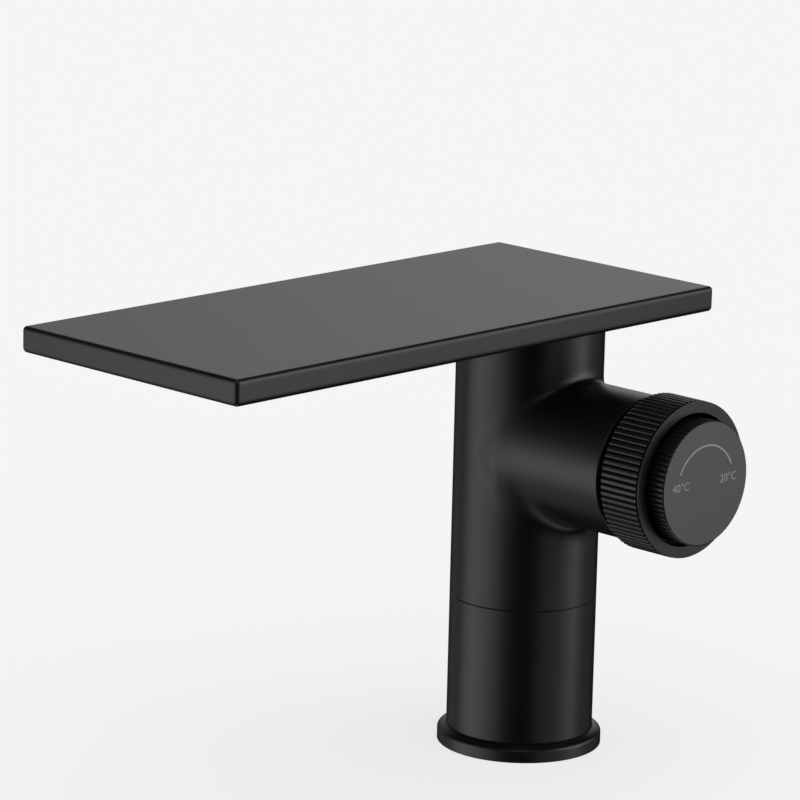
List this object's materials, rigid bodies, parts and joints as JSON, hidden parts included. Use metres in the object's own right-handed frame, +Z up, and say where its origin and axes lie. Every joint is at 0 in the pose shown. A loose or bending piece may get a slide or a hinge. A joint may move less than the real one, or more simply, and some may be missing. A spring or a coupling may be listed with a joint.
{
  "type": "basin mixer",
  "caption": "Basin mixer tap: round column, long flat spout plate with an outlet slit below, and a side branch with a fluted flow ring around a fluted temperature knob.",
  "frame": {"origin": "centre of the base on the deck plane, under the column's axis", "axes": "+Z up the column, -Y towards the spout's lip, +X along the side branch towards the controls"},
  "size_m": [0.1156, 0.1964, 0.1457],
  "materials": {
    "black_metal": "matte black coating",
    "black_steel": "black oxide",
    "brass": "machined",
    "steel": "plain",
    "rubber": "matte",
    "valve_plastic": "moulded",
    "slip_plastic": "low-friction",
    "ceramic": "lapped",
    "dial_paint": "paint fill"
  },
  "bodies": {
    "mixer_body": {"base_flange": "black_metal", "base_gasket": "rubber", "lower_sleeve": "black_metal", "inlet_block": "brass", "check_valves": "valve_plastic", "hot_riser": "brass", "cold_riser": "brass", "outlet_tube": "brass", "tube_seals": "rubber", "upper_body": "black_metal", "seam_seal": "rubber", "valve_seat": "brass", "port_seals": "rubber", "fixed_disc": "ceramic", "housing_seal": "rubber", "valve_housing": "valve_plastic", "retaining_nut": "brass", "slip_washer": "slip_plastic", "spout_nipple": "brass", "spout_nut": "brass", "spout_seal": "rubber", "locating_pin": "steel", "spout_shell": "black_metal", "spout_floor": "black_metal", "floor_screws": "black_steel", "floor_gasket": "rubber"},
    "flow_control": {"flow_ring": "black_metal", "ring_clip": "steel", "flow_drum": "brass", "drum_seal": "rubber"},
    "temperature_control": {"temperature_knob": "black_metal", "dial_arc": "dial_paint", "knob_grub_screw": "steel", "temperature_spindle": "brass", "spindle_seal": "rubber", "mixing_disc": "ceramic"}
  },
  "joints": [
    {"name": "flow_turn", "type": "hinge", "parent": "mixer_body", "child": "flow_control", "pos_m": [0, 0, 0.0952], "axis": [1, 0, 0], "range_deg": [0, 90]},
    {"name": "temperature_turn", "type": "hinge", "parent": "mixer_body", "child": "temperature_control", "pos_m": [0, 0, 0.0952], "axis": [1, 0, 0], "range_deg": [-70, 70]}
  ]
}
